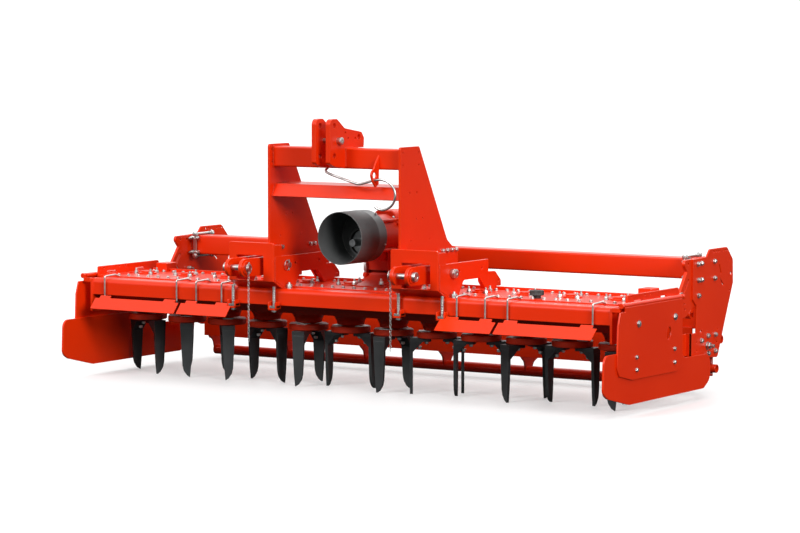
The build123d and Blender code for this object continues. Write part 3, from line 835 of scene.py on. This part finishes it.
def beam_hook_and_holder():
    form = bmesh.new()
    outline = [
        (-308, 1161), (-344, 1116), (-350, 1100), (-371, 1086), (-379, 1068), (-366, 1038), (-337, 1008),
        (-311, 1024), (-308, 1092),
    ]
    plate(form, "x", outline, 235, 243, {3: 8, 4: 12, 5: 20, 6: 8}, [circle(-347, 1066, 15, 24)])
    made_piece("hose_hook_fin", "frame", *RED, form)
    spine = bpy.data.curves.new("holder_line", "CURVE")
    spine.dimensions = "3D"
    spine.bevel_depth = 6 * MM
    spine.bevel_resolution = 4
    spine.use_fill_caps = True
    spine.resolution_u = 10
    route = [
        (-58, -300, 1092), (-50, -330, 1086), (-36, -346, 1072), (60, -349, 1046), (140, -352, 1025),
        (160, -352, 1022), (200, -352, 1032), (250, -352, 1046), (300, -352, 1048), (348, -352, 1022),
        (366, -352, 978), (350, -352, 930), (308, -352, 904), (268, -352, 904), (247, -352, 918),
    ]
    line = spine.splines.new("NURBS")
    line.points.add(len(route) - 1)
    for point, place in zip(line.points, route):
        point.co = (*at(*place), 1.0)
    line.order_u = 3
    line.use_endpoint_u = True
    mesh = mesh_of(placed("holder_line", spine))
    mesh.materials.clear()
    mesh.materials.append(ZINC)
    piece = finish_piece("curved_hose_holder", "frame", mesh)
    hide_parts("hose_holder")


# Hardware of the fixed frame

ROTOR_PITCH = 250.0
ROTOR_OFFSETS = [(index - 5.5) * ROTOR_PITCH for index in range(12)]
TINE_PHASES = [155, 125, 129, 159, 100, 3, 90, 32, 22, 68, 0, 103]


def trough_hardware():
    cover = []
    for step in range(-23, 24):
        x = step * 62.5
        for y, clear in ((-160, 0), (135, 130)):
            if abs(x) != 375 and abs(x) >= clear:
                cover.append(("trough_cover", (x, y, 503), UP))
    bolts("cover_bolts", "frame", COVER_BOLT, cover)
    caps = []
    for x in ROTOR_OFFSETS:
        for across, y in cap_lobes(x):
            node = "ribbed_gear_casing" if abs(across) < 167 else "trough_cover"
            caps.append((node, (across, y, 508), UP))
    bolts("bearing_cap_nuts", "frame", CAP_NUT, caps)
    claws = bmesh.new()
    claw = [(-340, 434), (-340, 394), (-298, 394), (-298, 414), (-311, 414), (-311, 434)]
    for x in (-604, -360, 360, 604):
        for near in (x - 24, x + 18):
            plate(claws, "x", claw, near, near + 6, {0: 6, 1: 4}, edge=0.8)
        brick(claws, 1, (x - 24, x + 24), (-340, -298), (394, 402), 0.8)
    made_piece("clamp_claws", "frame", *RED, claws)
    nuts = []
    lugs = []
    for _, side in SIDES:
        nuts.append(("gear_trough", (side * 631, -259, 497), UP))
        nuts.append(("gear_trough", (side * 318, -252, 497), UP))
        for x in CLAMPS_X:
            lugs.append(("clamp_claws", (side * x, CLAMPS_Y, 394), DOWN))
    bolts("trough_edge_nuts", "frame", CLAMP_NUT, nuts)
    bolts("clamp_lug_nuts", "frame", CLAW_NUT, lugs)


def headstock_hardware():
    feet = []
    tails = []
    for label, side in SIDES:
        column = "headstock_column_" + label
        for y in (35, 75, 115, 155):
            feet.append((column, (side * 383, y, 690), (side, 0, 0)))
        for y in (-279, -238, 5, 41):
            feet.append((column, (side * 371, y, 697), (-side, 0, 0)))
        tails.append(("folded_hitch_box_" + label, (side * 579, 170, 550), (-side, 0, 0)))
    bolts("column_foot_bolts", "frame", FOOT_BOLT, feet)
    bolts("hitch_tail_bolts", "frame", FOOT_BOLT, tails)


def gearbox_hardware():
    case = []
    for _, side in SIDES:
        for x, y in ((56, 105), (86, 118), (86, 180), (86, 242), (56, 255)):
            case.append(("ribbed_gear_casing", (side * x, y, 832), UP))
        for y in (85, 125, 165):
            case.append(("ribbed_gear_casing", (side * 112, y, 509), UP))
        for x, z in ((78, 582), (84, 640), (84, 715), (72, 778), (30, 784), (30, 572)):
            case.append(("ribbed_gear_casing", (side * x, 285, z), REAR))
    bolts("gearbox_bolts", "frame", CASE_BOLT, case)
    rim = []
    for x, z in ((114, 719), (62, 852), (-62, 852), (-114, 719)):
        direction = Vector((x, 0, z - GUARD_UP)).normalized()
        place = (direction.x * GUARD_RADIUS, -72, GUARD_UP + direction.z * GUARD_RADIUS)
        rim.append(("round_shaft_guard", place, direction))
    bolts("guard_rim_screws", "frame", TUBE_SCREW, rim)
    stick = bmesh.new()
    turned(stick, at(-96, 88, 562), UP, [
        (-2, 7), (8, 7), (9, 9), (11, 10, 0.8), (44, 10, 0.8), (47, 8), (56, 8), (58, 6),
    ], around=40)
    made_piece("oil_dipstick_knob", "frame", *PLATED, stick)
    seat = bmesh.new()
    turned(seat, at(-96, 88, 540), UP, [(0, 14), (14, 14), (18, 11), (22, 11)])
    made_piece("oil_dipstick_boss", "frame", *RED, seat)


def oil_cap():
    # ribbed screw cap with a sunk top, and the breather neck that it closes
    cap = bmesh.new()
    turned(cap, at(1000, -120, 503), UP, [
        (0, 20), (13, 20), (14, 31), (16, 34), (18, 34, 2.2), (33, 34, 2.2), (36, 33, 1.0),
        (38, 30), (38.5, 22), (36, 20), (36, 6), (38, 4),
    ], around=56)
    piece = made_piece("ribbed_oil_cap", "frame", "guard_plastic", CAP_NYLON, cap)
    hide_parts("filler_cap")


# Pins, rings and chains

def pins_and_chains():
    pins = bmesh.new()
    for _, side in SIDES:
        # knurled collar round each pivot pin's head, and the ring pin through its inner end
        turned(pins, at(side * 604, *PIVOT_PIN), (side, 0, 0), [
            (0, 21.4), (2, 21.8, 0.9), (15, 21.8, 0.9), (17, 20), (19, 20), (21, 21.5),
            (24, 21.5), (25.4, 19), (25.6, 8), (24, 6),
        ], around=48)
        wire(pins, [at(side * 331, -233, 582), at(side * 331, -233, 636)], 4)
        hoop(pins, at(side * 330, -251, 609), (1, 0.12, 0), 24, 2.2)
    # the top link pin's ring pin, and the drop rod beside it
    wire(pins, [at(-64, -372, 1202), at(-64, -372, 1250)], 4)
    hoop(pins, at(-64, -388, 1226), (1, 0.1, 0.1), 20, 2)
    turned(pins, at(72, -372, 1226), (1, 0, 0), [(0, 18.4), (1, 18.4), (2.5, 16), (2.6, 7), (1, 5)])
    made_piece("headstock_ring_pins", "frame", *PLATED, pins)
    for label, side in SIDES:
        body = "lower_link_" + label
        form = bmesh.new()
        wire(form, [at(side * 409, -460, 577), at(side * 409, -460, 634)], 4.5)
        hoop(form, at(side * 405, -466, 603), (1, 0.15, 0), 25, 2.2)
        hoop(form, at(side * 405, *LINK_PIN), (1, 0, 0), 15.2, 2.6)
        made_piece("hitch_ring_pin_" + label, body, *PLATED, form)
        drop = line_mesh([[at(side * 408, -466, 580), at(side * 408, -466, 258)]])
        grown_piece("pin_chain_" + label, body, *PLATED, CHAIN, drop, Pitch=0.0125,
                    Link_Length=0.0175, Link_Width=0.0095, Wire_Radius=0.0013)


# Side shields

def side_shields():
    outline = [
        (-290, 500), (-290, 480), (-337, 480), (-357, 418), (-366, 228), (-343, 190), (-223, 163), (217, 162),
        (271, 188), (266, 500),
    ]
    oval = [(133 + 20 * u + 6 * v, 349 + 29 * v) for u, v in round_steps(24)]
    for label, side in SIDES:
        form = bmesh.new()
        plate(form, "x", outline, side * 1557, side * SHIELD_FACE, {4: 30, 6: 60, 7: 30, 8: 30}, [oval])
        # its top edge is rolled round the hinge rod
        turned(form, at(side * HINGE_X, -290, HINGE_UP), REAR, [
            (0, 6.6), (0, 12), (558, 12), (558, 6.6),
        ], 24, ring_shaped=True)
        piece = made_piece("rolled_side_shield_" + label, "shield_" + label, *RED, form)
        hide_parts("side_shield_" + label)


def shield_hardware():
    for label, side in SIDES:
        for name, size, places in (
            ("shield_bolts_", SHIELD_BOLT, ((-163, 416), (195, 420))),
            ("skid_bolts_", SKID_BOLT, ((-183, 264), (-182, 206), (188, 270), (189, 207))),
        ):
            node = "rolled_side_shield_" + label
            rows = [(node, (side * SHIELD_FACE, *place), (side, 0, 0)) for place in places]
            bolts(name + label, "shield_" + label, size, rows)


# Rear frame: plate bolts, arm pins, beam clamps

def rear_hardware():
    plate_bolts = [
        (515, 642), (551, 644), (522, 565), (553, 565), (688, 645), (690, 563), (523, 491),
        (624, 291), (701, 290), (556, 273), (628, 205), (702, 211),
    ]
    rows = []
    heavy = []
    inner = []
    for label, side in SIDES:
        node = "drilled_rear_arm_" + label
        for place in plate_bolts:
            rows.append((node, (side * PLATE_OUT, *place), (side, 0, 0)))
        heavy.append((node, (side * PLATE_OUT, 621, 243), (side, 0, 0)))
        inner.append((node, (side * ARM_IN, 500, 494), (-side, 0, 0)))
        for x in (1446, 1479):
            for z in (652, 578):
                inner.append(("rear_square_tube", (side * x, 530, z), FRONT))
    bolts("rear_plate_bolts", "rear_frame", PLATE_BOLT, rows)
    bolts("rear_plate_heavy_bolts", "rear_frame", PIVOT_NUT, heavy)
    bolts("beam_clamp_nuts", "rear_frame", BEAM_CLAMP_NUT, inner)
    form = bmesh.new()
    for _, side in SIDES:
        near = min(side * 1451, side * 1474)
        clamp = side * 1450
        slab(form, at(near, 520, 560), at(near + 23, 528, 670), 1.2)
        for z in (674.5, 559.5):
            wire(form, [at(clamp, 506, z), at(clamp, 664, z)], 7, around=14)
        for z in (560, 674):
            for y, towards in ((514, FRONT), (650, REAR)):
                turned(form, at(clamp, y, z), towards, [(0, 14), (1, 15), (11, 15), (12, 13)], around=6)
        slab(form, at(clamp - 14, 631, 552), at(clamp + 14, 639, 682), 1.2)
        # stop pin of the arm: disc head outside, domed nut with its washer and two clips inside
        turned(form, at(side * 1507, *STOP_PIN), (side, 0, 0), [
            (0, 19), (4.5, 19), (6, 17), (6.2, 8), (5, 6),
        ])
        turned(form, at(side * 1493, *STOP_PIN), (-side, 0, 0), [
            (0, 19), (3, 19), (3.1, 13), (12, 13), (17, 10), (20, 4),
        ])
        clip = side * 1478
        for y, z in ((330, 478), (402, 486)):
            bend = at(clip, (STOP_PIN[0] + y) / 2, 512)
            wire(form, [at(side * 1480, *STOP_PIN), bend, at(clip, y, z), at(clip, y, z - 18)], 1.8)
    made_piece("beam_clamps_and_pins", "rear_frame", *PLATED, form)


# Rotors: lock plates over the discs and the screws under the tine feet

def rotor_hardware():
    for index, x in enumerate(ROTOR_OFFSETS):
        label = "%02d" % (index + 1)
        body = "rotor_" + label
        plates = bmesh.new()
        heads = []
        for half in (0, 180):
            degrees = TINE_PHASES[index] + half
            angle = radians(degrees)
            slab(plates, at(x + 39.2, -26.8, 303.2), at(x + 89, 26.8, 306.8), 0.8, degrees, at(x, 0, 0))
            for along in (50, 84):
                place = (x + cos(angle) * along, sin(angle) * along, 255)
                heads.append(("tines_" + label, place, DOWN))
        made_piece("tine_lock_plates_" + label, body, *PLATED, plates)
        bolts("tine_bolts_" + label, body, TINE_BOLT, heads)


# Upright ears on the levelling board's ends, behind the gap at the shield's rear edge

def board_ears():
    form = bmesh.new()
    for _, side in SIDES:
        ear = ((1300, 324), (1300, 392), (1344, 434), (1478, 434), (1478, 324))
        plate(form, "y", [(side * x, z) for x, z in ear], 594, 600, {2: 20, 3: 12}, edge=0.8)
        near = side * 1400 - 3
        plate(form, "x", [(599, 328), (599, 424), (628, 331)], near, near + 6, edge=0.8)
    made_piece("levelling_board_ears", "levelling", *RED, form)


# Threads of the levelling spindles and of the clamp studs

def spindle_threads():
    feet = [at(side * SPINDLE_X, SPINDLE_Y, 86) for _, side in SIDES]
    grown_piece("spindle_threads", "rear_frame", "zinc_steel", MACHINED, THREAD, bare_mesh(feet),
                Thread_Radius=0.009, Thread_Pitch=0.005, Thread_Length=0.092, Ridge=0.0016)
    studs = [at(side * x, CLAMPS_Y, 420) for _, side in SIDES for x in CLAMPS_X]
    grown_piece("clamp_stud_threads", "frame", *PLATED, THREAD, bare_mesh(studs),
                Thread_Radius=0.0079, Thread_Pitch=0.004, Thread_Length=0.074, Ridge=0.0011)


# Welds, painted over with the frame

def frame_welds():
    fixed = []
    swung = []
    for _, side in SIDES:
        x = side * 370.5
        square = [(-309, 1092), (-309, 1190), (-209, 1190), (-209, 1092), (-309, 1092)]
        fixed.append([at(x, y, z) for y, z in square])
        fixed.append([at(x, y, z) for y, z in ((-322, 950), (-291, 1009), (-76, 1009))])
        for wall in (371, 383):
            for first, last in ((-268, -174), (90, 175)):
                fixed.append([at(side * wall, first, 503), at(side * wall, last, 503)])
        for wall in (338, 350, 591, 603):
            fixed.append([at(side * wall, -262, 499), at(side * wall, -174, 503)])
        for wall in (338, 603):
            fixed.append([at(side * wall, -345, 542), at(side * wall, -345, 650)])
        for wall in (28, 53):
            fixed.append([at(side * wall, -306, 1190.5), at(side * wall, -212, 1190.5)])
            fixed.append([at(side * wall, -309.5, 1104), at(side * wall, -309.5, 1186)])
        tube = [(530, 567), (530, 667), (630, 667), (630, 567), (530, 567)]
        swung.append([at(side * 1492, y, z) for y, z in tube])
    grown_piece("frame_welds", "frame", *CAST, WELD, line_mesh(fixed),
                Drop_Spacing=0.0065, Bead_Radius=0.0048)
    grown_piece("rear_frame_welds", "rear_frame", *CAST, WELD, line_mesh(swung),
                Drop_Spacing=0.0065, Bead_Radius=0.0055)


# Studio

def soft_sun(name, towards, strength, spread_degrees):
    light = bpy.data.lights.new(name, "SUN")
    light.energy = strength
    light.angle = radians(spread_degrees)
    placed(name, light).rotation_euler = (-Vector(towards)).to_track_quat("-Z", "Y").to_euler()


def studio_floor():
    mesh = bpy.data.meshes.new("studio_floor")
    form = bmesh.new()
    bmesh.ops.create_circle(form, cap_ends=True, segments=96, radius=400.0)
    form.to_mesh(mesh)
    form.free()
    floor = placed("studio_floor", mesh)
    material, tree = new_material("matt_white_floor_paint")
    shader = add(tree, "ShaderNodeBsdfPrincipled", Base_Color=hex_colour("#C6C6C6"), Roughness=0.6)
    shader.inputs["Emission Color"].default_value = hex_colour("#FFFFFF")
    shader.inputs["Emission Strength"].default_value = 0.38
    shader.inputs["Specular IOR Level"].default_value = 0.2
    add(tree, "ShaderNodeOutputMaterial", Surface=shader)
    mesh.materials.append(material)
    floor.location.z = -0.0005
    # the floor takes the shadow and throws no light back under the machine
    floor.visible_diffuse = False
    floor.visible_glossy = False


def studio_walls():
    # white behind the object, a dim room below it and a softbox ceiling above it
    world = bpy.data.worlds.new("studio")
    bpy.context.scene.world = world
    world.use_nodes = True
    tree = world.node_tree
    tree.nodes.clear()
    direction = add(tree, "ShaderNodeTexCoord").outputs["Generated"]
    height = add(tree, "ShaderNodeSeparateXYZ", Vector=direction).outputs["Z"]
    walls = add(tree, "ShaderNodeMapRange", Value=height, From_Min=-0.05, From_Max=0.32,
                To_Min=0.02, To_Max=0.26)
    ceiling = add(tree, "ShaderNodeMapRange", Value=height, From_Min=0.12, To_Max=0.5)
    light = add(tree, "ShaderNodeMath", {"operation": "ADD"}, i0=walls, i1=ceiling)
    path = add(tree, "ShaderNodeLightPath")
    soft = add(tree, "ShaderNodeBackground", Color=light, Strength=0.8)
    panels = add(tree, "ShaderNodeMapRange", Value=height, From_Min=-0.03, From_Max=0.05,
                 To_Min=0.05, To_Max=0.95)
    mirrored = add(tree, "ShaderNodeBackground", Color=panels, Strength=1.0)
    lit = add(tree, "ShaderNodeMixShader", i0=path.outputs["Is Glossy Ray"], i1=soft, i2=mirrored)
    shown = add(tree, "ShaderNodeBackground", Color=hex_colour("#FFFFFF"), Strength=1.05)
    mixed = add(tree, "ShaderNodeMixShader", i0=path.outputs["Is Camera Ray"], i1=lit, i2=shown)
    add(tree, "ShaderNodeOutputWorld", Surface=mixed)


def studio():
    studio_floor()
    studio_walls()
    soft_sun("ceiling_light", (0.15, -0.3, 1.0), 1.3, 50)
    soft_sun("front_light", (-0.35, -1.0, 0.64), 1.5, 20)
    soft_sun("side_light", (1.0, -0.45, 0.4), 1.95, 20)
    soft_sun("back_light", (-0.35, 1.0, 0.8), 0.7, 40)


# Camera at the photograph's angle

VIEW_AZIMUTH = radians(32.75)
VIEW_ELEVATION = radians(4.6)
VIEW_DISTANCE = 14.93
VIEW_TARGET = at(162, 0, 607)
FOCAL_IN_PHOTO_PIXELS = 3075
PHOTO_WIDTH = 800


def camera():
    data = bpy.data.cameras.new("camera")
    data.sensor_width = 36.0
    data.sensor_fit = "HORIZONTAL"
    data.lens = FOCAL_IN_PHOTO_PIXELS * data.sensor_width / PHOTO_WIDTH
    back = Vector((
        sin(VIEW_AZIMUTH) * cos(VIEW_ELEVATION),
        -cos(VIEW_AZIMUTH) * cos(VIEW_ELEVATION),
        sin(VIEW_ELEVATION),
    ))
    seat = placed("camera", data)
    seat.location = VIEW_TARGET + back * VIEW_DISTANCE
    seat.rotation_euler = (-back).to_track_quat("-Z", "Y").to_euler()
    data.clip_end = 200.0
    bpy.context.scene.camera = seat


for build in (
    dress_frame, end_plates, rear_arms, gearbox_casting, shaft_guard, hitch_boxes, lower_links,
    beam_hook_and_holder, trough_hardware, headstock_hardware, gearbox_hardware, oil_cap,
    pins_and_chains, side_shields, shield_hardware, rear_hardware, rotor_hardware, board_ears,
    spindle_threads, frame_welds, studio, camera,
):
    build()
bpy.context.scene.view_settings.view_transform = "Standard"
